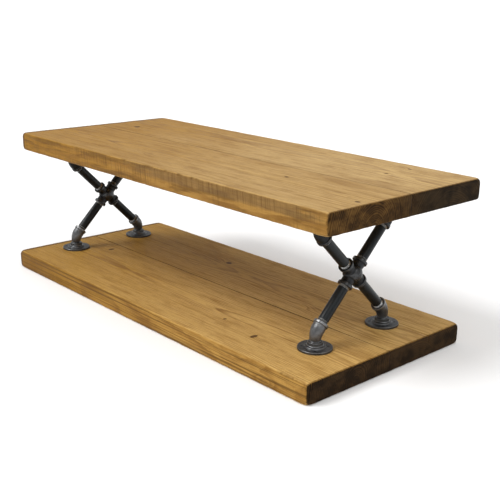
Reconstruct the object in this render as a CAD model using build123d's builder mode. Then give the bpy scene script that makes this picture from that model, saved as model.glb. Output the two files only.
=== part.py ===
from build123d import *

import math
import os

# Two-tier coffee table: two thick pine slabs joined by two X-frames of screwed pipe.
# Origin on the floor, under the middle of the table; +X along the slabs, -Y is the front, +Z up.

# ---------------------------------------------------------------- driving dimensions (mm)
# slabs, each of two boards joined edge to edge
shelf_length = 1310.0
shelf_board_width = 279.0
top_length = 1320.0
top_board_width = 275.0
board_thickness = 54.0
corner_radius = 9.0
arris_radius = 3.5
seam_bevel = 0.8

# how the slabs stand: the top sits a little to the right of the shelf, and a little further back
clear_height = 326.0
top_shift_x = 7.0
top_shift_y = 29.0
left_frame_inset = 94.0
right_frame_inset = 129.0

# dowels in each slab's edge joint
dowel_radius = 6.0
dowel_length = 80.0
dowel_count = 5
dowel_spacing = 260.0
dowel_bevel = 1.5
dowel_clearance = 0.05

# 3/4 inch pipe and its taper thread
pipe_radius = 13.45
pipe_passage = 10.8
thread_pitch = 1.814
thread_depth = 1.1
thread_taper = 1 / 32
fitted_thread_radius = 13.0
thread_engagement = 14.0
exposed_thread = 5.0
thread_runout = 1.0

# fittings: bands, necks and threaded ports
band_radius = 19.3
band_length = 7.5
band_front_rounding = 1.2
band_back_rounding = 1.8
neck_blend = 1.5
port_radius = 13.05
port_passage = 9.6
port_depth = 15.0
port_bevel = 1.2
cross_reach = 39.0
cross_neck = 15.8
cross_body = 24.4
cross_blend = 4.0

# 45 degree street elbows: the female port faces the pipe, the male end enters the flange
elbow_rise = 40.0
elbow_female_reach = 29.0
elbow_male_reach = 33.0
elbow_tangent = 17.0
elbow_angle = 45.0
elbow_body_radii = (17.3, 17.2, 16.4, 15.1, 13.9)

# floor flanges
flange_radius = 43.0
flange_plate = 6.0
flange_rim = 1.8
boss_radius = 25.5
boss_height = 9.2
boss_flare = 1.0
boss_rim = 1.5
hub_radius = 18.6
hub_height = 19.0
hub_flare = 0.6
hub_blend = 3.0
hub_rim = 1.5

# countersunk wood screws, four in each flange
screw_circle = 31.8
screws_per_flange = 4
screw_first_angle = 45.0
screw_head_radius = 4.0
screw_head_rim = 0.3
screw_crest_radius = 2.3
screw_root_radius = 1.6
screw_length = 38.0
screw_neck_length = 8.0
screw_pitch = 2.5
screw_tip_length = 4.0
screw_slot_width = 0.9
screw_slot_length = 4.4
screw_slot_depth = 1.3
countersink_radius = 4.4
countersink_angle = 90
flange_hole_radius = 2.6
pilot_radius = 2.4
hole_spare = 1.0
same_size = 0.01

# ---------------------------------------------------------------- derived places
# the ends and the long edges of the whole table, measured from the middle of the shelf
left_end = min(-shelf_length / 2, top_shift_x - top_length / 2)
right_end = max(shelf_length / 2, top_shift_x + top_length / 2)
front_edge = min(-shelf_board_width, top_shift_y - top_board_width)
back_edge = max(shelf_board_width, top_shift_y + top_board_width)

shelf_x = -(left_end + right_end) / 2
shelf_y = -(front_edge + back_edge) / 2
shelf_surface = board_thickness
top_underside = shelf_surface + clear_height

# each slab: length, board width, middle, underside, and the face and direction of its screw holes
slabs = {
    "shelf": (shelf_length, shelf_board_width, shelf_x, shelf_y, 0.0, shelf_surface, -1),
    "top": (
        top_length,
        top_board_width,
        shelf_x + top_shift_x,
        shelf_y + top_shift_y,
        top_underside,
        top_underside,
        1,
    ),
}

frame_positions = {
    "left": shelf_x - shelf_length / 2 + left_frame_inset,
    "right": shelf_x + shelf_length / 2 - right_frame_inset,
}
frame_y = shelf_y
cross_height = shelf_surface + clear_height / 2
foot_offset = clear_height / 2 - elbow_rise
arm_span = foot_offset * math.sqrt(2)

levels = {"lower": -1, "upper": 1}
sides = {"front": -1, "back": 1}


def finish(piece, label):
    """Label a finished piece and write it to its own file."""
    piece.part.label = label
    export_step(piece.part, f"parts/{label}.step")


# ---------------------------------------------------------------- slabs
def screw_places(frame_x, side):
    """Where the four screws of the flange on one side of a frame stand, seen from above."""
    places = []
    for index in range(screws_per_flange):
        angle = math.radians(screw_first_angle + index * 360 / screws_per_flange)
        x = frame_x + screw_circle * math.cos(angle)
        y = frame_y + side * foot_offset + screw_circle * math.sin(angle)
        places.append((x, y))
    return places


def make_board(slab, side):
    """One of a slab's two boards, drilled for its dowels and for the flange screws."""
    length, width, slab_x, slab_y, underside, drilled_height, drill_direction = slab
    with BuildPart() as board:
        with BuildSketch(Plane.XY.offset(underside)):
            with Locations((slab_x, slab_y + side * width / 2)):
                Rectangle(length, width)
        extrude(amount=board_thickness)
        outer_edge = 0 if side < 0 else -1
        seam_edge = -1 - outer_edge
        fillet(board.edges().filter_by(Axis.Z).group_by(Axis.Y)[outer_edge], radius=corner_radius)
        chamfer(board.edges().filter_by(Axis.X).group_by(Axis.Y)[seam_edge], length=seam_bevel)
        flat_faces = board.faces().filter_by(Axis.Z)
        seam_lines = board.edges().filter_by(Axis.X).group_by(Axis.Y)
        kept_sharp = seam_lines[seam_edge] + seam_lines[1 if side > 0 else -2]
        fillet([edge for edge in flat_faces.edges() if edge not in kept_sharp], radius=arris_radius)

        pilot_depth = screw_length - flange_plate + hole_spare
        with BuildSketch(Plane.XY.offset(drilled_height)):
            for frame_x in frame_positions.values():
                with Locations(*screw_places(frame_x, side)):
                    Circle(pilot_radius)
        extrude(amount=drill_direction * pilot_depth, mode=Mode.SUBTRACT)

        with BuildSketch(Plane.XZ.offset(-slab_y)):
            with Locations((slab_x, underside + board_thickness / 2)):
                with GridLocations(dowel_spacing, 1, dowel_count, 1):
                    Circle(dowel_radius + dowel_clearance)
        extrude(amount=-side * (dowel_length / 2 + hole_spare), mode=Mode.SUBTRACT)
    return board


def make_dowels(slab):
    """The row of dowels across the joint between a slab's two boards."""
    _, _, slab_x, slab_y, underside, _, _ = slab
    with BuildPart() as dowels:
        with BuildSketch(Plane.XZ.offset(-slab_y)):
            with Locations((slab_x, underside + board_thickness / 2)):
                with GridLocations(dowel_spacing, 1, dowel_count, 1):
                    Circle(dowel_radius)
        extrude(amount=dowel_length / 2, both=True)
        chamfer(dowels.edges().filter_by(GeomType.CIRCLE), length=dowel_bevel)
    return dowels


# ---------------------------------------------------------------- pipe frames
def arm_plane(frame_x, side, level):
    """Plane of one arm: origin at the cross, local X along the arm, slab at local +45 degrees."""
    return Plane(
        origin=(frame_x, frame_y, cross_height),
        x_dir=(0, side, level),
        z_dir=(side * level, 0, 0),
    )


def along(plane, u, v=0.0):
    """A point of a plane as a place in the table's frame."""
    return plane.from_local_coords(Vector(u, v, 0))


def arm_axis(plane):
    """The axis of a plane's local X direction."""
    return Axis(plane.origin, plane.x_dir)


def leg_plane(arm):
    """Plane of an elbow's male end: origin at the elbow's centre, local X towards the slab."""
    toward_slab = along(arm, 1, 1) - arm.origin
    return Plane(origin=along(arm, arm_span), x_dir=toward_slab, z_dir=arm.z_dir)


def foot_plane(arm, distance=0.0):
    """Plane on the slab under a flange, or a distance off it, facing the elbow."""
    leg = leg_plane(arm)
    base = along(leg, elbow_rise - distance)
    return Plane(origin=base, x_dir=(1, 0, 0), z_dir=leg.x_dir * -1)


def thread_outline(start, stop, crest_at_face, face):
    """Ridges of a taper thread as (position, radius), from start to stop; it narrows towards the end."""
    direction = 1 if stop > start else -1
    turns = int(abs(stop - start) / thread_pitch)
    outline = []
    for turn in range(turns):
        root = start + direction * thread_pitch * turn
        crest = root + direction * thread_pitch / 2
        crest_radius = crest_at_face - direction * (crest - face) * thread_taper
        outline.append((root, crest_radius - thread_depth))
        outline.append((crest, crest_radius))
    outline.append((start + direction * thread_pitch * turns, crest_radius - thread_depth))
    return outline


def port_cutter(face, reach):
    """Outline of a threaded port's bore and the passage behind it, down to the fitting's centre."""
    inward = 1 if reach > 0 else -1
    bottom = face - inward * port_depth
    centre = face - reach
    return [
        (centre, 0),
        (centre, port_passage),
        (bottom, port_passage),
        (bottom, port_radius),
        (face - inward * port_bevel, port_radius),
        (face, port_radius + port_bevel),
        (face, 0),
    ]


def make_cross(frame_x):
    """Four-way cross: a round body with a banded, threaded port on each arm."""
    arms = [arm_plane(frame_x, side, level) for side in sides.values() for level in levels.values()]
    port_outline = [
        (0, 0),
        (0, cross_neck),
        (cross_reach - band_length, cross_neck),
        (cross_reach - band_length, band_radius),
        (cross_reach, band_radius),
        (cross_reach, 0),
    ]
    roundings = (0, 0, neck_blend, band_back_rounding, band_front_rounding, 0)
    with BuildPart(Plane(origin=(frame_x, frame_y, cross_height))) as cross:
        Sphere(cross_body)
        for arm in arms:
            with BuildSketch(arm):
                with BuildLine():
                    FilletPolyline(*port_outline, radius=roundings, close=True)
                make_face()
            revolve(axis=arm_axis(arm))
        centre = Vector(frame_x, frame_y, cross_height)
        body_joints = [
            edge
            for edge in cross.edges().filter_by(GeomType.CIRCLE)
            if abs(edge.radius - cross_neck) < same_size and (edge.arc_center - centre).length < cross_body
        ]
        fillet(body_joints, radius=cross_blend)
        for arm in arms:
            with BuildSketch(arm):
                with BuildLine():
                    Polyline(*port_cutter(cross_reach, cross_reach), close=True)
                make_face()
            revolve(axis=arm_axis(arm), mode=Mode.SUBTRACT)
    return cross


def make_pipe(arm):
    """Straight pipe from the cross to an elbow, threaded at both ends."""
    cross_face = cross_reach
    elbow_face = arm_span - elbow_female_reach
    near_end = cross_face - thread_engagement
    far_end = elbow_face + thread_engagement
    near_thread = thread_outline(cross_face + exposed_thread, near_end, fitted_thread_radius, cross_face)
    far_thread = thread_outline(elbow_face - exposed_thread, far_end, fitted_thread_radius, elbow_face)
    outline = [(near_end, pipe_passage)]
    outline += [(near_end, near_thread[-1][1])]
    outline += near_thread[-2::-1]
    outline += [(cross_face + exposed_thread + thread_runout, pipe_radius)]
    outline += [(elbow_face - exposed_thread - thread_runout, pipe_radius)]
    outline += far_thread[:-1]
    outline += [(far_end, far_thread[-1][1])]
    outline += [(far_end, pipe_passage)]
    with BuildPart() as pipe:
        with BuildSketch(arm):
            with BuildLine():
                Polyline(*outline, close=True)
            make_face()
        revolve(axis=arm_axis(arm))
    return pipe


def make_elbow(arm):
    """45 degree street elbow: banded female port, body that slims round the bend, male end."""
    leg = leg_plane(arm)
    bend_start = arm_span - elbow_tangent
    bend_radius = elbow_tangent / math.tan(math.radians(elbow_angle / 2))
    face = arm_span - elbow_female_reach
    socket_outline = [
        (face, 0),
        (face, band_radius),
        (face + band_length, band_radius),
        (face + band_length, elbow_body_radii[0]),
        (bend_start, elbow_body_radii[0]),
        (bend_start, 0),
    ]
    roundings = (0, band_front_rounding, band_back_rounding, neck_blend, 0, 0)
    thread_start = elbow_tangent + thread_pitch
    hub_face = elbow_rise - hub_height
    male_thread = thread_outline(thread_start, elbow_male_reach, fitted_thread_radius, hub_face)
    male_outline = [(elbow_tangent, 0), (elbow_tangent, elbow_body_radii[-1])]
    male_outline += male_thread[:-1]
    male_outline += [(elbow_male_reach, male_thread[-1][1]), (elbow_male_reach, 0)]
    with BuildPart() as elbow:
        for index, radius in enumerate(elbow_body_radii):
            turn = math.radians(elbow_angle * index / (len(elbow_body_radii) - 1))
            u = bend_start + bend_radius * math.sin(turn)
            v = bend_radius * (1 - math.cos(turn))
            ahead = along(arm, math.cos(turn), math.sin(turn)) - arm.origin
            with BuildSketch(Plane(origin=along(arm, u, v), x_dir=arm.z_dir, z_dir=ahead)):
                Circle(radius)
        loft()
        with BuildSketch(arm):
            with BuildLine():
                FilletPolyline(*socket_outline, radius=roundings, close=True)
            make_face()
        revolve(axis=arm_axis(arm))
        with BuildSketch(leg):
            with BuildLine():
                Polyline(*male_outline, close=True)
            make_face()
        revolve(axis=arm_axis(leg))
        with BuildSketch(arm):
            with BuildLine():
                Polyline(*port_cutter(face, -elbow_female_reach), close=True)
            make_face()
        revolve(axis=arm_axis(arm), mode=Mode.SUBTRACT)
        with BuildSketch(Plane(origin=leg.origin, x_dir=leg.z_dir, z_dir=leg.x_dir)):
            Circle(port_passage)
        extrude(amount=elbow_male_reach, mode=Mode.SUBTRACT)
    return elbow


def make_flange(arm):
    """Round floor flange: plate, low boss and threaded hub, with four countersunk screw holes."""
    foot = foot_plane(arm)
    section = Plane(origin=foot.origin, x_dir=foot.x_dir, z_dir=foot.x_dir.cross(foot.z_dir))
    outline = [
        (port_radius, 0),
        (flange_radius, 0),
        (flange_radius, flange_plate),
        (boss_radius + boss_flare, flange_plate),
        (boss_radius, boss_height),
        (hub_radius + hub_flare, boss_height + hub_flare),
        (hub_radius, hub_height),
        (port_radius + port_bevel, hub_height),
        (port_radius, hub_height - port_bevel),
    ]
    roundings = (0, 0, flange_rim, boss_flare, boss_rim, hub_blend, hub_rim, 0, 0)
    with BuildPart(foot_plane(arm, flange_plate)) as flange:
        with BuildSketch(section):
            with BuildLine():
                FilletPolyline(*outline, radius=roundings, close=True)
            make_face()
        revolve(axis=Axis(foot.origin, foot.z_dir))
        with PolarLocations(screw_circle, screws_per_flange, start_angle=screw_first_angle):
            CounterSinkHole(flange_hole_radius, countersink_radius, counter_sink_angle=countersink_angle)
    return flange


def make_screws(arm):
    """The four wood screws of one flange, each a separate solid."""
    seat = foot_plane(arm, flange_plate)
    cone_end = screw_head_rim + screw_head_radius - screw_crest_radius
    thread_length = screw_length - screw_neck_length - screw_tip_length
    turns = int(thread_length / screw_pitch)
    outline = [
        (0, 0),
        (screw_head_radius, 0),
        (screw_head_radius, -screw_head_rim),
        (screw_crest_radius, -cone_end),
        (screw_crest_radius, -screw_neck_length),
    ]
    for turn in range(turns):
        depth = screw_neck_length + turn * screw_pitch
        outline.append((screw_root_radius, -depth - screw_pitch / 3))
        outline.append((screw_crest_radius, -depth - screw_pitch))
    outline.append((screw_root_radius, -screw_length + screw_tip_length))
    outline.append((0, -screw_length))
    with BuildPart() as screws:
        for index in range(screws_per_flange):
            angle = math.radians(screw_first_angle + index * 360 / screws_per_flange)
            centre = along(seat, screw_circle * math.cos(angle), screw_circle * math.sin(angle))
            section = Plane(origin=centre, x_dir=seat.x_dir, z_dir=seat.x_dir.cross(seat.z_dir))
            with BuildSketch(section):
                with BuildLine():
                    Polyline(*outline, close=True)
                make_face()
            revolve(axis=Axis(centre, seat.z_dir))
            with BuildSketch(Plane(origin=centre, x_dir=seat.x_dir, z_dir=seat.z_dir)):
                Rectangle(screw_slot_length, screw_slot_width)
                Rectangle(screw_slot_width, screw_slot_length)
            extrude(amount=-screw_slot_depth, mode=Mode.SUBTRACT)
    return screws


# ---------------------------------------------------------------- the table
os.makedirs("parts", exist_ok=True)

for slab_name, slab in slabs.items():
    for side_name, side in sides.items():
        finish(make_board(slab, side), f"{slab_name}_board_{side_name}")
    finish(make_dowels(slab), f"{slab_name}_dowels")

for frame_name, frame_x in frame_positions.items():
    finish(make_cross(frame_x), f"{frame_name}_cross")
    for level_name, level in levels.items():
        for side_name, side in sides.items():
            place = f"{frame_name}_{level_name}_{side_name}"
            arm = arm_plane(frame_x, side, level)
            finish(make_pipe(arm), f"{place}_pipe")
            finish(make_elbow(arm), f"{place}_elbow")
            finish(make_flange(arm), f"{place}_flange")
            finish(make_screws(arm), f"{place}_screws")
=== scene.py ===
import math

import bpy
import numpy as np
from mathutils import Matrix, Vector


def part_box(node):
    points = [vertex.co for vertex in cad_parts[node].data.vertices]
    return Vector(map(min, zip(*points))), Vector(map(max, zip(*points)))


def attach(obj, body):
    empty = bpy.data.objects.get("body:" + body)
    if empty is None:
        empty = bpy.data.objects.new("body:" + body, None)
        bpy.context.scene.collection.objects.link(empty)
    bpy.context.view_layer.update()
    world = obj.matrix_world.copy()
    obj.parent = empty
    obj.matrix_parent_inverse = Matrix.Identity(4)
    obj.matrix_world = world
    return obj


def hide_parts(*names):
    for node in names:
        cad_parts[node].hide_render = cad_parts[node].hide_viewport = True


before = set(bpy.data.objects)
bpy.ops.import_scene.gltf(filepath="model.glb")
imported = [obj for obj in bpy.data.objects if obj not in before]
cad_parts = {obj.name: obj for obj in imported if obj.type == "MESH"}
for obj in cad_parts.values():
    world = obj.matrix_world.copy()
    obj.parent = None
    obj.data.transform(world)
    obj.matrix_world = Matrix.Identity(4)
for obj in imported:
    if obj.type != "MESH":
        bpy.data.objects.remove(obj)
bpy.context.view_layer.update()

MM = 0.001

# ---------------------------------------------------------------- layout and sizes
# the two X-frames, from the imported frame
CROSSES = [sum(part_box(f"{side}_cross"), Vector()) / 2 for side in ("left", "right")]
FRAME_MIDDLE = (CROSSES[0].x + CROSSES[1].x) / 2
FRAME_HALF_SPAN = (CROSSES[1].x - CROSSES[0].x) / 2

# boards: outer corners seen from above, arrises, and the strip beside the joint that its bevel narrows
CORNER_RADIUS = 10 * MM
ARRIS_RADIUS = 5 * MM
SEAM_ZONE = 4 * MM

# grid of points on a board's two broad faces; the closer lines from its edges and cracks are in millimetres
COLUMN_STEP = 6 * MM
ROW_STEP = 4 * MM
EDGE_LINES = (1.6, 3.2, 4.8, 6.4, 8.0, 10.0)
CRACK_LINES = (-1.2, -0.45, 0, 0.45, 1.2)
CRACK_CLEARANCE = 1.4 * MM
LEAST_STEP = 0.3 * MM

# rings of points round a board's sides: over each arris, and down the wall between them
ARRIS_LEVELS = 8
WALL_LEVELS = 20

# wear: about how deep it goes at the arrises, at the outer corners along x, y and z, on the broad faces, on
# the long edges and at dark knots
ARRIS_WEAR = 0.9 * MM
CORNER_WEAR = (2.7 * MM, 2.7 * MM, 0.9 * MM)
FACE_HOLLOW = 0.14 * MM
EDGE_SCALLOP = 0.22 * MM
KNOT_DIP = 0.5 * MM

# how far chips reach from their arris, and how far cracks waver to either side
CHIP_REACH = 7 * MM
CRACK_WAVER = 0.9 * MM

# pine: width of a year's growth, and of the band in which the pith strays sideways and in height
RING_SPACING = 5.2 * MM
PITH_STRAY = (0.075, 0.055)

# iron and pipe, from the middle of an X-frame along an arm: where one finish fades into the next
ARM_FADE = (172 * MM, 150 * MM)
FLANGE_FADE = (172 * MM, 190 * MM)
CROSS_THREAD_FADE = (45.5 * MM, 44.5 * MM)
ELBOW_THREAD_FADE = (138.5 * MM, 139.5 * MM)

# iron and pipe, off an arm's axis or off a frame's own plane
BAND_RISE = (18.3 * MM, 19.3 * MM)
THREAD_RISE = (12.35 * MM, 12.95 * MM)
PARTING_LINE = (0.9 * MM, 0.2 * MM)


# ---------------------------------------------------------------- node graphs
class Graph:
    """A node material under construction; every input may be a number, a colour or another node's output."""

    def __init__(self, name):
        self.material = bpy.data.materials.new(name)
        self.material.use_nodes = True
        self.tree = self.material.node_tree
        self.tree.nodes.clear()

    def feed(self, socket, value):
        if isinstance(value, bpy.types.NodeSocket):
            self.tree.links.new(value, socket)
        else:
            socket.default_value = value

    def node(self, kind, inputs=(), **settings):
        made = self.tree.nodes.new(kind)
        for key, value in settings.items():
            setattr(made, key, value)
        for key, value in dict(inputs).items():
            self.feed(made.inputs[key], value)
        return made

    def math(self, operation, *values):
        made = self.node("ShaderNodeMath", operation=operation)
        for index, value in enumerate(values):
            self.feed(made.inputs[index], value)
        return made.outputs[0]

    def add(self, a, b):
        return self.math("ADD", a, b)

    def subtract(self, a, b):
        return self.math("SUBTRACT", a, b)

    def times(self, a, b):
        return self.math("MULTIPLY", a, b)

    def magnitude(self, value):
        return self.math("ABSOLUTE", value)

    def length(self, *values):
        total = 0.0
        for value in values:
            total = self.add(total, self.times(value, value))
        return self.math("SQRT", total)

    def step(self, value, low, high, result_low=0.0, result_high=1.0):
        """Smooth step of value between low and high; low may be the larger of the two."""
        made = self.node("ShaderNodeMapRange", interpolation_type="SMOOTHSTEP")
        for index, number in enumerate((value, low, high, result_low, result_high)):
            self.feed(made.inputs[index], number)
        return made.outputs[0]

    def stray(self, value, noise, amount):
        """The value, shifted either way by up to half the amount."""
        return self.add(value, self.times(self.subtract(noise, 0.5), amount))

    def position(self):
        """The point's place in the table's frame, in metres, whole and as x, y, z."""
        point = self.node("ShaderNodeTexCoord").outputs["Object"]
        parts = self.node("ShaderNodeSeparateXYZ", {"Vector": point}).outputs
        return point, parts[0], parts[1], parts[2]

    def facing(self):
        """The surface's own direction as x, y, z, before any bump."""
        normal = self.node("ShaderNodeTexCoord").outputs["Normal"]
        parts = self.node("ShaderNodeSeparateXYZ", {"Vector": normal}).outputs
        return parts[0], parts[1], parts[2]

    def vector(self, x, y, z):
        return self.node("ShaderNodeCombineXYZ", {"X": x, "Y": y, "Z": z}).outputs[0]

    def noise(self, point, scale=(1, 1, 1), shift=(0, 0, 0), detail=2.0, roughness=0.5, colour=False):
        """Noise between 0 and 1 with features about one unit across after scaling."""
        mapping = self.node("ShaderNodeMapping", {"Vector": point, "Scale": scale, "Location": shift})
        made = self.node(
            "ShaderNodeTexNoise",
            {"Vector": mapping.outputs[0], "Scale": 1.0, "Detail": detail, "Roughness": roughness},
        )
        return made.outputs["Color" if colour else "Fac"]

    def mix(self, amount, first, second, blend="MIX"):
        made = self.node("ShaderNodeMix", data_type="RGBA", blend_type=blend)
        self.feed(made.inputs["Factor"], amount)
        self.feed(made.inputs[6], first)
        self.feed(made.inputs[7], second)
        return made.outputs[2]

    def bump(self, height, distance, strength=1.0):
        inputs = {"Height": height, "Distance": distance, "Strength": strength}
        return self.node("ShaderNodeBump", inputs).outputs[0]

    def finish(self, inputs):
        """Adds the shader with these inputs and returns the material."""
        shader = self.node("ShaderNodeBsdfPrincipled", inputs)
        output = self.node("ShaderNodeOutputMaterial")
        self.tree.links.new(shader.outputs[0], output.inputs["Surface"])
        return self.material


def rgb(red, green, blue):
    return (red, green, blue, 1.0)


# ---------------------------------------------------------------- wood
class Pine(Graph):
    """Waxed, stained pine: growth rings round a pith, knots, fibres, saw marks, dark end grain."""

    def __init__(self, name, box, wood, seam_side):
        super().__init__(name)
        self.low, self.high = box
        self.wood = wood
        self.seed = wood["seed"]
        self.early, self.late, self.faded_and_sheen = (rgb(*tone) for tone in wood["tones"])
        self.deep = rgb(*(0.5 * channel for channel in self.late[:3]))
        self.point, self.x, self.y, self.z = self.position()
        self.facing_x, self.facing_y = self.facing()[:2]
        self.seam_y = self.high.y if seam_side > 0 else self.low.y

    def knot_fields(self, across, up):
        """Branches that run out from the pith: how far they bend the rings, and their own nearness."""
        bend = 0.0
        nearness = 0.0
        for place, sideways, height, radius, dark in self.wood["knots"]:
            reach = math.hypot(sideways, height)
            direction = (sideways / reach, height / reach)
            out = self.add(self.times(across, direction[0]), self.times(up, direction[1]))
            off = self.subtract(self.times(across, direction[1]), self.times(up, direction[0]))
            along = self.subtract(self.x, place)
            wide = self.length(self.times(along, 0.38), off)
            outward = self.step(out, 0.0, 10 * MM)
            falloff = -1 / (2.1 * radius) ** 2
            swelling = self.math("EXPONENT", self.times(self.times(wide, wide), falloff))
            bend = self.add(bend, self.times(self.times(swelling, outward), 1.5 * radius))
            if dark:
                from_core = self.math("DIVIDE", self.length(self.times(along, 0.75), off), radius)
                core = self.times(from_core, self.step(out, 0.0, 5 * MM, 9.0, 1.0))
                nearness = self.math("MAXIMUM", nearness, self.subtract(1.6, core))
        return bend, nearness

    def lay_rings(self):
        """Growth rings, wider in some years than in others, round a pith that wanders along the board."""
        pith_side, pith_height = self.wood["pith"]
        wander = self.noise(self.point, (1.6, 3.0, 3.0), (self.seed, 0, 0), 2.0, 0.45, colour=True)
        sideways, upwards = self.node("ShaderNodeSeparateColor", {"Color": wander}).outputs[:2]
        across = self.subtract(self.y, (self.low.y + self.high.y) / 2 + pith_side)
        across = self.stray(across, sideways, PITH_STRAY[0])
        up = self.stray(self.subtract(self.z, self.low.z + pith_height), upwards, PITH_STRAY[1])
        bend, self.knot_nearness = self.knot_fields(across, up)

        uneven = self.noise(self.point, (14, 120, 120), (0, self.seed, 0), 3.0)
        radius = self.add(self.stray(self.length(across, up), uneven, 2.2 * MM), bend)
        pace = self.noise(self.vector(self.times(radius, 55), self.seed, 0.0), detail=1.0)
        ring = self.add(self.times(radius, 1 / RING_SPACING), self.times(pace, 2.2))
        self.phase = self.math("FRACT", ring)
        self.latewood = self.times(self.step(self.phase, 0.3, 0.86), self.step(self.phase, 0.99, 0.9))
        self.year = self.noise(self.vector(self.math("FLOOR", ring), self.seed, 0.0), (7.3, 1, 1))

    def lay_fibres(self):
        """Long streaks, short flecks, fibres, pores and broad drifts of colour, all drawn out along x."""
        seed = self.seed
        self.streaks = self.noise(self.point, (5, 150, 150), (0, 0, seed), 5.0, 0.62)
        self.flecks = self.noise(self.point, (24, 250, 250), (seed, 0, 2 * seed), 4.0, 0.6)
        self.fibres = self.noise(self.point, (40, 900, 900), (seed, seed, 0), 3.0, 0.6)
        self.pores = self.noise(self.point, (130, 1900, 1900), (seed, 0, seed), 1.0)
        self.mottle = self.noise(self.point, (9, 34, 34), (seed, 2 * seed, seed), 4.0, 0.62)
        self.clouds = self.noise(self.point, (2.2, 11, 11), (seed, seed, seed), 4.0, 0.6)
        self.drift = self.stray(self.x, self.clouds, 0.9)

    def colour_faces(self):
        """Sapwood that fades and is lightened by painted sheen towards the right end, its rings, and the
        streaks and flecks over them.
        """
        # towards the right end the sapwood turns to the faded tone, partly real fading and partly painted
        # sheen
        fading = self.step(self.drift, -0.6, 0.45, 0.0, self.wood["fading"])
        sapwood = self.mix(fading, self.early, self.faded_and_sheen)
        clear_years = self.step(self.year, 0.3, 0.7, 0.4, 0.85)
        clear_places = self.step(self.mottle, 0.3, 0.62, 0.35, 1.0)
        rings_show = self.times(clear_years, clear_places)
        colour = self.mix(self.times(self.latewood, rings_show), sapwood, self.late)
        layers = (
            (self.mottle, 0.52, 0.72, 0.4, self.late),
            (self.flecks, 0.5, 0.72, 0.5, self.late),
            (self.streaks, 0.48, 0.74, 0.5, self.late),
            (self.streaks, 0.64, 0.84, 0.5, self.deep),
            (self.streaks, 0.42, 0.2, 0.35, self.faded_and_sheen),
            (self.clouds, 0.46, 0.22, 0.55, self.late),
            (self.fibres, 0.52, 0.78, 0.45, self.deep),
            (self.pores, 0.62, 0.75, 0.3, self.deep),
        )
        for noise, none, full, most, tone in layers:
            colour = self.mix(self.step(noise, none, full, 0.0, most), colour, tone)
        return colour

    def colour_knots(self, colour):
        """Dark bark ring, brown core with its own fine rings, darker wood round them."""
        knot_edge = self.stray(self.knot_nearness, self.streaks, 0.5)
        brown = rgb(0.115, 0.056, 0.018)
        dark_brown = rgb(0.06, 0.026, 0.009)
        black = rgb(0.018, 0.009, 0.005)
        core_rings = self.step(self.math("SINE", self.times(knot_edge, 22)), -1, 1)
        inside = self.step(knot_edge, 0.5, 0.62)
        self.bark = self.times(inside, self.step(knot_edge, 0.9, 0.72))
        core = self.mix(self.bark, self.mix(core_rings, brown, dark_brown), black)
        colour = self.mix(self.step(knot_edge, 0.0, 0.6, 0.0, 0.5), colour, self.late)
        return self.mix(self.times(inside, 0.9), colour, core)

    def smudge(self, start, end, lowest):
        """A ragged patch of an edge between two places along the board, above a height."""
        fade = 0.12
        ragged_x = self.stray(self.x, self.mottle, 0.5)
        ragged_z = self.stray(self.z, self.streaks, 30 * MM)
        along = self.times(self.step(ragged_x, start, start + fade), self.step(ragged_x, end, end - fade))
        return self.times(along, self.step(ragged_z, lowest - 5 * MM, lowest + 6 * MM))

    def colour_edges(self, colour):
        """Long edges: a tint of their own, on the shelf darker at the left end as painted shade, thin lines
        or wider bands of stain, smudges, upright saw marks.
        """
        seed = self.seed
        sawn = self.wood["sawn"]
        dirt = rgb(0.17, 0.105, 0.045)
        edge_face = self.step(self.magnitude(self.facing_y), 0.5, 0.95)
        # the edge tint runs from the left end rightwards; the shelf's darker left end is painted shade
        left_tint, right_tint = (rgb(*tint) for tint in self.wood["edge_tints"])
        tint = self.mix(self.step(self.drift, -0.7, 0.1), left_tint, right_tint)
        colour = self.mix(edge_face, colour, tint, "MULTIPLY")
        bands = self.noise(self.point, self.wood["edge_scale"], (seed, 2 * seed, 0), 5.0, 0.6)
        lines = self.times(self.step(bands, 0.48, 0.62), self.wood["edge_lines"])
        colour = self.mix(self.times(lines, edge_face), colour, self.deep)

        leaning = self.vector(self.add(self.x, self.times(self.z, 0.12)), 0.0, self.times(self.z, 0.06))
        self.marks = self.noise(leaning, (270, 1, 60), (0, seed, 0), 3.0, 0.7)
        patches = self.noise(self.point, (5, 1, 26), (seed, 0, 0), 2.0)
        self.marks_amount = self.times(self.times(edge_face, self.step(patches, 0.36, 0.6)), sawn)
        for start, end, lowest in self.wood["smudges"]:
            smudge = self.times(self.smudge(start, end, lowest), edge_face)
            colour = self.mix(self.times(smudge, 0.55), colour, dirt)
            self.marks_amount = self.math("MAXIMUM", self.marks_amount, self.times(smudge, sawn))
        marked = self.times(self.step(self.marks, 0.44, 0.72), self.times(self.marks_amount, 0.8))
        return self.mix(marked, colour, self.deep)

    def colour_ends(self, colour):
        """End grain drinks the stain and is darkened further by painted shade, and some of the stain creeps
        round the arris.
        """
        seed = self.seed
        ring_shade = rgb(0.25, 0.22, 0.20)
        clouds = self.noise(self.point, (1, 24, 34), (seed, seed, 0), 4.0, 0.6)
        self.end_pores = self.noise(self.point, (700, 700, 700), detail=2.0)
        backwards = self.step(self.stray(self.y, clouds, 0.2), -0.08, 0.10)
        # the end tones are dark stain with painted shade in them
        front_dark, front_pale, back_dark, back_pale = (rgb(*tone) for tone in self.wood["ends"])
        dark = self.mix(backwards, front_dark, back_dark)
        pale = self.mix(backwards, front_pale, back_pale)
        tone = self.mix(self.step(clouds, 0.36, 0.66), dark, pale)
        tone = self.mix(self.times(self.latewood, 0.7), tone, ring_shade, "MULTIPLY")
        tone = self.mix(self.times(self.step(self.phase, 0.5, 0.2), 0.25), tone, pale)
        tone = self.mix(self.step(self.end_pores, 0.55, 0.75, 0.0, 0.3), tone, pale)

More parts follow.
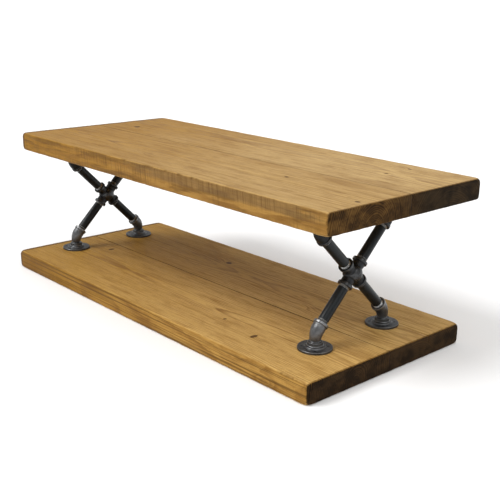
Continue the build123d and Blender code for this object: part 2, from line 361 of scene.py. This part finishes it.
        from_middle = self.magnitude(self.subtract(self.x, (self.low.x + self.high.x) / 2))
        to_end = self.subtract((self.high.x - self.low.x) / 2, from_middle)
        soaked = self.add(to_end, self.times(self.streaks, 12 * MM))
        soaked = self.add(soaked, self.step(self.x, -0.6, 0.6, -13 * MM, 0.0))
        colour = self.mix(self.step(soaked, 14 * MM, 9 * MM, 0.0, 0.85), colour, self.deep)
        self.end_face = self.step(self.stray(self.magnitude(self.facing_x), self.flecks, 0.35), 0.5, 0.7)
        return self.mix(self.end_face, colour, tone)

    def stain(self, colour):
        """Painted shade darkens the joint, and stain gathers in torn places, which the mesh marks with its
        scar attribute.
        """
        from_seam = self.magnitude(self.subtract(self.y, self.seam_y))
        seam_width = self.step(self.streaks, 0.3, 0.7, 1.2 * MM, 2.6 * MM)
        across_seam = self.math("DIVIDE", from_seam, seam_width)
        # painted shade: a near-black line along the joint between the two boards
        joint = self.step(across_seam, 1.0, 0.3, 0.0, self.wood["seam_painted_shade"])
        colour = self.mix(joint, colour, rgb(0.02, 0.01, 0.005))
        scar = self.node("ShaderNodeAttribute", attribute_name="scar").outputs["Fac"]
        return self.mix(self.step(scar, 0.05, 0.9, 0.0, 0.7), colour, self.deep)

    def relief(self):
        """Height of the surface: raised latewood and fibres, sunken pores, saw marks and bark."""
        height = self.add(self.times(self.latewood, 0.10), self.times(self.fibres, 0.25))
        height = self.add(height, self.times(self.add(self.streaks, self.flecks), 0.25))
        height = self.subtract(height, self.times(self.step(self.pores, 0.62, 0.75), 0.15))
        height = self.subtract(height, self.times(self.times(self.marks, self.marks_amount), 1.1))
        height = self.add(height, self.times(self.times(self.end_pores, self.end_face), 0.5))
        return self.subtract(height, self.times(self.bark, 0.5))


def make_pine(name, box, wood, seam_side):
    """The pine of one board, which grows through all of its faces."""
    pine = Pine(name, box, wood, seam_side)
    pine.lay_rings()
    pine.lay_fibres()
    colour = pine.colour_knots(pine.colour_faces())
    colour = pine.stain(pine.colour_ends(pine.colour_edges(colour)))
    waxed = pine.step(pine.add(pine.streaks, pine.times(pine.latewood, -0.25)), 0.2, 0.8, 0.46, 0.62)
    return pine.finish(
        {
            "Base Color": colour,
            "Roughness": pine.add(waxed, pine.times(pine.end_face, 0.25)),
            "Specular IOR Level": 0.07,
            "Normal": pine.bump(pine.relief(), 0.5 * MM),
        }
    )


def grid_lines(low, high, step, refined=()):
    """Places from low to high about a step apart, closer at both ends, plus the refined ones."""
    lines = list(np.linspace(low, high, int((high - low) / step) + 1))
    for offset in EDGE_LINES:
        lines += [low + offset * MM, high - offset * MM]
    lines = [line for line in lines if all(abs(line - fine) > CRACK_CLEARANCE for fine in refined)]
    lines = sorted(lines + list(refined))
    kept = [lines[0]]
    for line in lines[1:-1]:
        if line - kept[-1] > LEAST_STEP and lines[-1] - line > LEAST_STEP:
            kept.append(line)
    return np.array(kept + [lines[-1]])


def ripple(values, wavelength, seed):
    """Smooth repeatable unevenness between about -1 and 1 along one direction."""
    chance = np.random.default_rng(seed)
    total = np.zeros_like(values)
    for _ in range(6):
        length = wavelength * chance.uniform(0.35, 1.6)
        total += np.sin(values * 2 * math.pi / length + chance.uniform(0, 2 * math.pi))
    return total / 3.2


def near(distance, reach):
    """1 where a distance is nothing, fading to nothing beyond about twice the reach."""
    return np.exp(-((distance / reach) ** 2))


def plan_point(s, t, box, seam_side, outer_inset, seam_inset):
    """Maps grid places (s, t) on a board's rectangle to its outline drawn in by the two insets."""
    low, high = box
    centre_x = (low.x + high.x) / 2
    core_x = (high.x - low.x) / 2 - CORNER_RADIUS
    along = s - centre_x
    over_x = np.maximum(np.abs(along) - core_x, 0) / CORNER_RADIUS
    centre_y = (low.y + high.y) / 2
    core_y = (high.y - low.y) / 2
    outward = -(t - centre_y) * seam_side
    over_y = np.maximum(outward - (core_y - CORNER_RADIUS), 0) / CORNER_RADIUS

    # corner squares become quarter discs
    ring = np.maximum(over_x, over_y)
    lesser = np.minimum(over_x, over_y)
    share = np.divide(lesser, ring, out=np.zeros_like(ring), where=ring > 0) * math.pi / 4
    angle = np.where(over_x >= over_y, share, math.pi / 2 - share)
    in_corner = (over_x > 0) & (over_y > 0)
    shrunk = CORNER_RADIUS - outer_inset
    reach_x = np.where(in_corner, ring * np.cos(angle), over_x) * shrunk
    reach_y = np.where(in_corner, ring * np.sin(angle), over_y) * shrunk
    new_x = centre_x + np.sign(along) * (np.minimum(np.abs(along), core_x) + reach_x)

    seam_over = np.maximum(-outward - (core_y - SEAM_ZONE), 0) / SEAM_ZONE
    inward_core = np.clip(outward, -(core_y - SEAM_ZONE), core_y - CORNER_RADIUS)
    new_out = inward_core + reach_y - seam_over * (SEAM_ZONE - seam_inset)
    return new_x, centre_y - new_out * seam_side


def board_levels(low_z, high_z, seam_bevel):
    """Heights of the rings of points down a board's sides, with the two insets at each."""
    arris = []
    for share in np.linspace(0, 1, ARRIS_LEVELS):
        turn = share * math.pi / 2
        arris.append((ARRIS_RADIUS * (1 - math.cos(turn)), ARRIS_RADIUS * (1 - math.sin(turn))))
    depth = high_z - low_z
    wall = [(drop, 0.0) for drop in np.linspace(ARRIS_RADIUS, depth - ARRIS_RADIUS, WALL_LEVELS)[1:-1]]
    levels = arris + wall + [(depth - drop, inset) for drop, inset in reversed(arris)]
    return [
        (high_z - drop, inset, max(0.0, seam_bevel - min(drop, depth - drop)))
        for drop, inset in levels
    ]


class Timber:
    """A board's points as they are worn, and the scars that say how torn the wood is at each."""

    def __init__(self, places, rows, box, wood, seam_side, seed):
        self.low, self.high = box
        self.middle = np.array([(self.low[axis] + self.high[axis]) / 2 for axis in range(3)])
        half = np.array([(self.high[axis] - self.low[axis]) / 2 for axis in range(3)])
        self.places = places.copy()
        self.x, self.y, self.z = self.places.T
        self.rows = rows
        self.wood = wood
        self.seed = seed
        self.scars = np.zeros(len(places))
        self.inward = -np.sign(places - self.middle)

        # depth under the nearer of the two faces across each axis, where the joint doesn't count as a face
        self.depth = half - np.abs(places - self.middle)
        joint_half = (self.y - self.middle[1]) * seam_side > 0
        self.depth[:, 1] = np.where(joint_half, 1.0, self.depth[:, 1])
        nearest = np.sort(self.depth, axis=1)
        self.arris = near(nearest[:, 1], 5 * MM) * near(nearest[:, 0], 4 * MM)

    def wear(self):
        self.wear_arrises()
        self.knock_corners()
        self.roughen_faces()
        self.chip_edges()
        self.open_cracks()
        self.sink_knots()
        self.scars = np.clip(self.scars, 0, 1)

    def wear_arrises(self):
        """Arrises lose up to about a millimetre, unevenly along their length."""
        broad = ripple(self.x + self.y, 0.07, self.seed)
        fine = ripple(self.x - 2 * self.y + self.z, 0.021, self.seed + 1)
        worn = self.arris * np.clip(0.45 + 0.35 * broad + 0.2 * fine, 0, 1.4) * ARRIS_WEAR
        for axis in range(3):
            self.places[:, axis] += self.inward[:, axis] * near(self.depth[:, axis], 5 * MM) * worn

    def knock_corners(self):
        """Outer corners are knocked rounder than the arrises."""
        from_corner = np.hypot(self.depth[:, 0], self.depth[:, 1])
        knocked = near(from_corner, 13 * MM) * near(self.depth[:, 2], 7 * MM)
        knocked *= np.clip(0.85 + 0.3 * ripple(self.x - self.y + 3 * self.z, 0.11, self.seed + 7), 0, 1.2)
        for axis, shift in enumerate(CORNER_WEAR):
            self.places[:, axis] += self.inward[:, axis] * knocked * shift

    def roughen_faces(self):
        """Planed faces are not quite flat, and sawn edges a little less so."""
        hollow = FACE_HOLLOW * (1 + ripple(self.x, 0.31, self.seed + 2) * ripple(self.y, 0.09, self.seed + 3))
        on_face = near(self.depth[:, 2], MM) * (1 - self.arris)
        self.places[:, 2] += self.inward[:, 2] * on_face * np.clip(hollow, 0, 1)
        scallop = EDGE_SCALLOP * (1 + ripple(self.x, 0.055, self.seed + 4))
        on_edge = near(self.depth[:, 1], MM) * (1 - self.arris)
        self.places[:, 1] += self.inward[:, 1] * on_edge * np.clip(scallop, 0, 1)

    def chip_edges(self):
        """Shallow scoops along the long arrises."""
        for place, height, length, depth in self.wood["chips"]:
            away = np.abs(self.x - place) / (length / 2)
            beside = np.abs(self.z - height) / CHIP_REACH + self.depth[:, 1] / CHIP_REACH
            amount = np.clip(1 - away**2, 0, 1) ** 0.5 * np.clip(1 - beside, 0, 1)
            amount *= 0.75 + 0.35 * ripple(self.x, 0.012, self.seed + 5)
            self.places[:, 1] += self.inward[:, 1] * amount * depth * 1.6
            self.places[:, 2] += self.inward[:, 2] * amount * depth * 1.3
            self.scars = np.maximum(self.scars, amount * 1.6)

    def open_cracks(self):
        """Splits that run in from the right end along the upper face, widest at the end."""
        for line, start, depth in self.wood["cracks"]:
            offset = np.abs(self.rows - line)
            below = self.high.z - self.z
            opened = np.clip((self.x - start) / (self.high.x - start), 0, 1) ** 0.6 * (self.x > start)
            profile = np.interp(offset, [0, 0.45 * MM, 1.2 * MM], [1, 0.35, 0])
            cut = profile * opened * near(below, 14 * MM)
            at_end = near(self.high.x - self.x, 2 * MM)
            self.places[:, 2] -= cut * depth * near(below, 2 * MM)
            self.places[:, 0] -= cut * depth * at_end
            waver = near(offset, 9 * MM) * ripple(self.x, 0.045, self.seed + 6) * CRACK_WAVER
            self.places[:, 1] += waver * np.clip(self.depth[:, 1] / (8 * MM), 0, 1)
            self.scars = np.maximum(self.scars, cut * 1.5)

    def sink_knots(self):
        """Dark knots lie a little under the upper face, deepest in a ring round their core."""
        for place, sideways, _, radius, dark in self.wood["knots"]:
            knot_y = self.middle[1] + self.wood["pith"][0] + sideways
            away = np.hypot((self.x - place) * 0.75, self.y - knot_y) / (1.6 * radius)
            sunk = near(away, 1) * (1 - 0.35 * near(away - 0.2, 1 / 3))
            self.places[:, 2] -= sunk * dark * KNOT_DIP * near(self.high.z - self.z, MM)


def make_board(name, node, box, seam_side, wood, seed):
    """A board as one mesh: rounded corners and arrises, worn edges, chips, cracks and sunken knots."""
    low, high = box
    crack_lines = [line + offset * MM for line, _, _ in wood["cracks"] for offset in CRACK_LINES]
    columns = grid_lines(low.x, high.x, COLUMN_STEP)
    rows = grid_lines(low.y, high.y, ROW_STEP, crack_lines)
    s, t = np.meshgrid(columns, rows, indexing="ij")
    count_x, count_y = s.shape
    index = np.arange(count_x * count_y).reshape(count_x, count_y)
    rim = np.concatenate([index[:, 0], index[-1, 1:], index[-2::-1, -1], index[0, -2:0:-1]])
    s, t = s.ravel(), t.ravel()

    # the first and last level are whole faces, and those between are only rings round the sides
    points = []
    rings = []
    levels = board_levels(low.z, high.z, wood["seam_bevel"] * MM)
    for number, (height, inset, seam_inset) in enumerate(levels):
        whole_face = number in (0, len(levels) - 1)
        chosen = np.arange(len(s)) if whole_face else rim
        x, y = plan_point(s[chosen], t[chosen], box, seam_side, inset, seam_inset)
        start = sum(len(block) for block in points)
        points.append(np.column_stack([x, y, np.full_like(x, height), t[chosen]]))
        rings.append(start + (rim if whole_face else np.arange(len(rim))))
    bottom_start = sum(len(block) for block in points[:-1])
    points = np.concatenate(points)

    corners = [index[:-1, :-1], index[1:, :-1], index[1:, 1:], index[:-1, 1:]]
    quads = np.stack(corners, axis=-1).reshape(-1, 4)
    faces = [quads, quads[:, ::-1] + bottom_start]
    for upper, lower in zip(rings[:-1], rings[1:]):
        faces.append(np.stack([upper, lower, np.roll(lower, -1), np.roll(upper, -1)], axis=-1))
    faces = np.concatenate(faces)

    timber = Timber(points[:, :3], points[:, 3], box, wood, seam_side, seed)
    timber.wear()
    mesh = bpy.data.meshes.new(name)
    mesh.from_pydata(timber.places.tolist(), [], faces.tolist())
    mesh.polygons.foreach_set("use_smooth", np.ones(len(mesh.polygons), dtype=bool))
    mesh.attributes.new("scar", "FLOAT", "POINT").data.foreach_set("value", timber.scars.astype(np.float32))
    mesh.update()
    board = bpy.data.objects.new(name, mesh)
    bpy.context.scene.collection.objects.link(board)
    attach(board, "root")
    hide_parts(node)
    return board


# ---------------------------------------------------------------- iron, pipe, screws and dowels
def frame_coordinates(graph):
    """The point, its place along the nearer arm of an X-frame, and how far off that arm and plane it is."""
    point, x, y, z = graph.position()
    off_plane = graph.subtract(graph.magnitude(graph.subtract(x, FRAME_MIDDLE)), FRAME_HALF_SPAN)
    across = graph.subtract(y, CROSSES[0].y)
    up = graph.subtract(z, CROSSES[0].z)
    root_half = math.sqrt(0.5)
    rising = graph.magnitude(graph.times(graph.add(across, up), root_half))
    falling = graph.magnitude(graph.times(graph.subtract(across, up), root_half))
    along = graph.math("MAXIMUM", rising, falling)
    off_axis = graph.length(graph.math("MINIMUM", rising, falling), off_plane)
    return point, along, off_axis, off_plane


def make_cast_iron(name, dull, bright, wear):
    """Black malleable cast iron: sand-cast grain, parting line, edges rubbed brighter and painted with
    highlight, dull oxide between.
    """
    graph = Graph(name)
    point, along, off_axis, off_plane = frame_coordinates(graph)
    sand = graph.noise(point, (750, 750, 750), detail=2.0, roughness=0.6)
    lumps = graph.noise(point, (190, 190, 190), (3, 1, 2), 2.0)
    stain = graph.noise(point, (42, 42, 42), (1, 5, 2), 4.0, 0.6)
    colour = graph.mix(graph.step(stain, 0.3, 0.7), rgb(*dull), rgb(*bright))
    colour = graph.mix(graph.step(sand, 0.55, 0.8, 0.0, 0.5), colour, rgb(0.022, 0.021, 0.021))

    # rubbed and painted highlight: the bands along the arms, and the slanting shoulders of the flanges
    bands = graph.times(graph.step(off_axis, *BAND_RISE), graph.step(along, *ARM_FADE))
    bands = graph.times(bands, graph.step(lumps, 0.3, 0.6, 0.35, 1.0))
    upright = graph.magnitude(graph.facing()[2])
    slanting = graph.times(graph.step(upright, 0.25, 0.5), graph.step(upright, 0.97, 0.8))
    shoulders = graph.times(slanting, graph.step(along, *FLANGE_FADE))
    shoulders = graph.times(shoulders, graph.step(lumps, 0.3, 0.6, 0.4, 1.0))
    rubbed = graph.add(bands, shoulders)
    # the rubbed places are painted bright grey, partly wear and partly painted highlight
    colour = graph.mix(graph.times(rubbed, wear), colour, rgb(0.30, 0.305, 0.31))
    rust = graph.times(graph.step(stain, 0.62, 0.76), graph.step(lumps, 0.5, 0.7, 0.0, 0.25))
    colour = graph.mix(rust, colour, rgb(0.075, 0.042, 0.025))

    relief = graph.add(graph.times(sand, 0.5), graph.times(lumps, 0.8))
    parting_line = graph.step(graph.magnitude(off_plane), *PARTING_LINE)
    relief = graph.add(relief, graph.times(parting_line, 0.7))
    roughness = graph.subtract(graph.step(sand, 0.2, 0.8, 0.34, 0.5), graph.times(rubbed, 0.1))
    return graph.finish(
        {
            "Base Color": colour,
            "Metallic": 0.85,
            "Roughness": roughness,
            "Normal": graph.bump(relief, 0.25 * MM, 0.8),
        }
    )


def make_black_pipe(name):
    """Black steel pipe: blue-black mill scale with fine draw lines, and bright cut threads at both ends."""
    graph = Graph(name)
    point, along, off_axis, off_plane = frame_coordinates(graph)
    drawn = graph.noise(graph.vector(graph.times(along, 30), graph.times(off_plane, 900), 0.0), detail=3.0)
    scale = graph.noise(point, (95, 95, 95), (2, 7, 1), 4.0, 0.65)
    specks = graph.noise(point, (620, 620, 620), (4, 0, 1), 1.0)
    thread = graph.add(graph.step(along, *CROSS_THREAD_FADE), graph.step(along, *ELBOW_THREAD_FADE))
    crest = graph.times(thread, graph.step(off_axis, *THREAD_RISE))

    colour = graph.mix(scale, rgb(0.0025, 0.003, 0.0035), rgb(0.010, 0.014, 0.017))
    colour = graph.mix(graph.step(specks, 0.6, 0.8, 0.0, 0.5), colour, rgb(0.04, 0.042, 0.045))
    colour = graph.mix(graph.times(thread, 0.85), colour, rgb(0.03, 0.03, 0.03))
    colour = graph.mix(crest, colour, rgb(0.62, 0.62, 0.61))
    roughness = graph.add(graph.step(scale, 0.3, 0.7, 0.27, 0.38), graph.times(drawn, 0.05))
    relief = graph.add(graph.times(drawn, 0.2), graph.times(scale, 0.6))
    return graph.finish(
        {
            "Base Color": colour,
            "Metallic": graph.step(crest, 0.2, 0.8, 0.1, 0.9),
            "Roughness": roughness,
            "Specular IOR Level": 0.27,
            "Normal": graph.bump(relief, 0.12 * MM, 0.7),
        }
    )


def make_screw_steel(name):
    """Black wood screws: dark oxide, brighter where the driver has rubbed."""
    graph = Graph(name)
    point = graph.position()[0]
    spots = graph.noise(point, (700, 700, 700), detail=2.0)
    colour = graph.mix(graph.step(spots, 0.5, 0.75), rgb(0.03, 0.03, 0.032), rgb(0.12, 0.12, 0.12))
    return graph.finish(
        {
            "Base Color": colour,
            "Metallic": 0.8,
            "Roughness": graph.step(spots, 0.3, 0.7, 0.3, 0.5),
            "Normal": graph.bump(spots, 0.05 * MM),
        }
    )


def make_beech(name):
    """Pale beech of the hidden dowels: straight fine grain with short dark flecks."""
    graph = Graph(name)
    point = graph.position()[0]
    fibres = graph.noise(point, (700, 40, 700), detail=3.0)
    flecks = graph.noise(point, (900, 180, 900), (1, 2, 3), 1.0)
    colour = graph.mix(fibres, rgb(0.60, 0.42, 0.25), rgb(0.44, 0.28, 0.15))
    colour = graph.mix(graph.step(flecks, 0.62, 0.72, 0.0, 0.6), colour, rgb(0.24, 0.13, 0.06))
    return graph.finish({"Base Color": colour, "Roughness": 0.6, "Normal": graph.bump(fibres, 0.1 * MM)})


def paint(name, material):
    """Gives a carried-over part its material."""
    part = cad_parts[name]
    part.data.materials.clear()
    part.data.materials.append(material)


# ---------------------------------------------------------------- stage
def make_floor():
    """A wide pale floor just under the shelf."""
    half_side = 400.0
    below = -0.3 * MM
    corners = [(x * half_side, y * half_side, below) for x, y in ((-1, -1), (1, -1), (1, 1), (-1, 1))]
    mesh = bpy.data.meshes.new("floor")
    mesh.from_pydata(corners, [], [(0, 1, 2, 3)])
    floor = bpy.data.objects.new("floor", mesh)
    bpy.context.scene.collection.objects.link(floor)
    graph = Graph("pale_floor")
    mottle = graph.noise(graph.position()[0], (3, 3, 3))
    colour = graph.mix(mottle, rgb(0.91, 0.91, 0.91), rgb(0.94, 0.94, 0.94))
    mesh.materials.append(graph.finish({"Base Color": colour, "Roughness": 0.9, "Specular IOR Level": 0.1}))


def add_sun(name, towards, strength, spread):
    """A soft distant light that comes from a direction; its spread is in degrees."""
    light = bpy.data.lights.new(name, "SUN")
    light.energy = strength
    light.angle = math.radians(spread)
    lamp = bpy.data.objects.new(name, light)
    lamp.rotation_euler = Vector(towards).to_track_quat("Z", "Y").to_euler()
    bpy.context.scene.collection.objects.link(lamp)


def light_studio():
    """White surroundings, dimmer overhead, with a broad key light and two softer lights."""
    world = bpy.data.worlds.new("studio")
    world.use_nodes = True
    tree = world.node_tree
    background = tree.nodes["Background"]
    background.inputs["Color"].default_value = rgb(1.0, 1.0, 1.0)
    direction = tree.nodes.new("ShaderNodeTexCoord")
    height = tree.nodes.new("ShaderNodeSeparateXYZ")
    fade = tree.nodes.new("ShaderNodeMapRange")
    fade.interpolation_type = "SMOOTHSTEP"
    fade_heights = (0.08, 0.32)
    strengths = (1.0, 0.38)
    for index, number in enumerate(fade_heights + strengths):
        fade.inputs[index + 1].default_value = number
    tree.links.new(direction.outputs["Generated"], height.inputs[0])
    tree.links.new(height.outputs["Z"], fade.inputs[0])
    tree.links.new(fade.outputs[0], background.inputs["Strength"])
    bpy.context.scene.world = world
    add_sun("key", (-0.42, -0.74, 1.0), 1.95, 28)
    add_sun("side", (0.60, -0.15, 1.0), 1.2, 60)
    add_sun("overhead", (0.0, 0.35, 1.0), 0.4, 70)


def add_camera():
    """Camera in front of the right end, a little above the top."""
    place = Vector((1.8181, -1.5172, 0.8687))
    azimuth = math.radians(47.978)
    elevation = math.radians(16.837)
    roll = math.radians(0.678)
    level = math.cos(elevation)
    back = Vector((math.sin(azimuth) * level, -math.cos(azimuth) * level, math.sin(elevation)))
    right = (-back).cross(Vector((0, 0, 1))).normalized()
    up = right.cross(-back)
    camera_x = right * math.cos(roll) + up * math.sin(roll)
    camera_y = up * math.cos(roll) - right * math.sin(roll)
    turn = Matrix((camera_x, camera_y, back)).transposed().to_4x4()
    data = bpy.data.cameras.new("camera")
    data.lens = 61.722
    data.sensor_width = 36.0
    data.clip_end = 1000.0
    camera = bpy.data.objects.new("camera", data)
    camera.matrix_world = Matrix.Translation(place) @ turn
    bpy.context.scene.collection.objects.link(camera)
    bpy.context.scene.camera = camera


# ---------------------------------------------------------------- the table
# wood's colours: earlywood, latewood, and earlywood faded by the light and lightened further by painted sheen
TOP_TONES = ((0.378, 0.208, 0.047), (0.202, 0.096, 0.021), (0.560, 0.385, 0.170))
SHELF_TONES = ((0.440, 0.252, 0.055), (0.235, 0.110, 0.021), (0.600, 0.385, 0.135))

# end grain, dark and pale, first at the front and then towards the back: dark stain with painted shade in it
TOP_END_STAIN_AND_SHADE = ((0.032, 0.015, 0.004), (0.122, 0.062, 0.016), (0.012, 0.0075, 0.0035), (0.040, 0.024, 0.010))
SHELF_END_STAIN_AND_SHADE = ((0.013, 0.0068, 0.0024), (0.046, 0.024, 0.0085), (0.014, 0.0075, 0.003), (0.050, 0.027, 0.010))

# what the long edges' colour is multiplied by at the left end, and further right; the shelf's darker left end
# is painted shade
TOP_EDGE = ((0.82, 0.74, 0.40), (0.77, 0.65, 0.41))
SHELF_EDGE_TINT_AND_SHADE = ((0.60, 0.52, 0.27), (0.77, 0.68, 0.48))

# heights of the upper faces
SHELF_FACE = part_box("shelf_board_front")[1].z
TOP_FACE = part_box("top_board_front")[1].z

# what each board's values say, in metres unless said otherwise:
#   pith: offset from the board's middle, height above its underside; seed: which noise its grain comes from
#   fading: most fading with painted sheen, 0 to 1; edge_lines: strength of the edge's dark lines; edge_scale:
#       their noise scale
#   sawn: strength of the saw marks; smudges: from, to, lowest height
#   seam_bevel: width in millimetres; seam_painted_shade: strength of the painted shade in the joint
#   knots: place along the table, offset and height from the pith, radius, whether the core shows dark
#   cracks: place across the table, where they start along it, depth
#   chips: place along the table, height, length, depth
BOARDS = {
    "shelf_board_front": {
        "pith": (0.025, 0.012), "seed": 3.1, "tones": SHELF_TONES, "ends": SHELF_END_STAIN_AND_SHADE, "fading": 0.8,
        "edge_tints": SHELF_EDGE_TINT_AND_SHADE, "edge_lines": 0.85, "edge_scale": (1.8, 20, 240),
        "sawn": 0.2, "smudges": [], "seam_bevel": 1.3, "seam_painted_shade": 0.97,
        "knots": [
            (-0.478, 0.062, 0.042, 0.004, True),
            (0.235, -0.045, 0.042, 0.003, True),
            (0.371, -0.085, 0.042, 0.0042, True),
            (-0.299, -0.11, 0.042, 0.006, False),
            (0.51, -0.16, 0.005, 0.0065, False),
        ],
        "cracks": [(-0.279, 0.50, 0.003)],
        "chips": [(0.582, SHELF_FACE, 0.075, 0.0012)],
    },
    "shelf_board_back": {
        "pith": (-0.03, -0.035), "seed": 7.7, "tones": SHELF_TONES, "ends": SHELF_END_STAIN_AND_SHADE, "fading": 0.95,
        "edge_tints": SHELF_EDGE_TINT_AND_SHADE, "edge_lines": 0.8, "edge_scale": (1.8, 20, 220),
        "sawn": 0.3, "smudges": [], "seam_bevel": 1.3, "seam_painted_shade": 0.97,
        "knots": [
            (-0.12, 0.05, 0.09, 0.007, True),
            (0.30, -0.04, 0.09, 0.006, False),
        ],
        "cracks": [(0.135, 0.572, 0.0035)],
        "chips": [],
    },
    "top_board_front": {
        "pith": (0.01, -0.012), "seed": 12.4, "tones": TOP_TONES, "ends": TOP_END_STAIN_AND_SHADE, "fading": 0.6,
        "edge_tints": TOP_EDGE, "edge_lines": 0.55, "edge_scale": (6, 20, 70),
        "sawn": 1.0, "smudges": [(-0.12, 0.66, 0.406)], "seam_bevel": 0.7, "seam_painted_shade": 0.75,
        "knots": [
            (0.631, -0.03, 0.066, 0.0045, True),
            (0.348, 0.04, 0.066, 0.004, True),
            (-0.15, -0.05, 0.066, 0.009, False),
        ],
        "cracks": [],
        "chips": [
            (0.02, TOP_FACE, 0.05, 0.0010),
            (0.10, TOP_FACE, 0.045, 0.0013),
            (0.155, TOP_FACE, 0.03, 0.0009),
            (0.215, TOP_FACE, 0.05, 0.0012),
            (-0.09, TOP_FACE, 0.03, 0.0008),
        ],
    },
    "top_board_back": {
        "pith": (0.02, -0.05), "seed": 16.9, "tones": TOP_TONES, "ends": TOP_END_STAIN_AND_SHADE, "fading": 0.85,
        "edge_tints": TOP_EDGE, "edge_lines": 0.55, "edge_scale": (6, 20, 60),
        "sawn": 0.7, "smudges": [], "seam_bevel": 0.7, "seam_painted_shade": 0.75,
        "knots": [
            (-0.536, -0.08, 0.104, 0.007, True),
            (0.476, -0.02, 0.104, 0.004, True),
            (0.479, 0.07, 0.104, 0.0035, True),
        ],
        "cracks": [],
        "chips": [],
    },
}

add_camera()
light_studio()
make_floor()

for number, (node, wood) in enumerate(BOARDS.items()):
    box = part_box(node)
    seam_side = 1 if node.endswith("front") else -1
    board = make_board(f"{node}_wood", node, box, seam_side, wood, number + 1)
    board.data.materials.append(make_pine(f"pine_{node}", box, wood, seam_side))

# cast iron: colours of its dull and bright places, and how bright its bands and shoulders are rubbed and
# painted with highlight
FINISHES = {
    # the four finishes are one iron painted lighter or darker: crosses and upper elbows darker as painted
    # shade, lower elbows and flanges lighter as painted light
    "cross": make_cast_iron("cross_iron_painted_shade", (0.012, 0.0125, 0.013), (0.034, 0.035, 0.037), 0.16),
    "upper_elbow": make_cast_iron("upper_elbow_iron_painted_shade", (0.009, 0.0095, 0.010), (0.024, 0.025, 0.026), 0.14),
    "lower_elbow": make_cast_iron("lower_elbow_iron_painted_light", (0.080, 0.082, 0.085), (0.170, 0.173, 0.177), 0.5),
    "flange": make_cast_iron("flange_iron_painted_light", (0.050, 0.052, 0.054), (0.105, 0.108, 0.112), 0.4),
    "pipe": make_black_pipe("black_pipe"),
    "screws": make_screw_steel("screw_steel"),
    "dowels": make_beech("beech"),
}
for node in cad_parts:
    words = node.split("_")
    kind = words[-1]
    if kind == "elbow":
        kind = f"{words[1]}_elbow"
    if kind in FINISHES:
        paint(node, FINISHES[kind])

bpy.context.scene.view_settings.view_transform = "Standard"
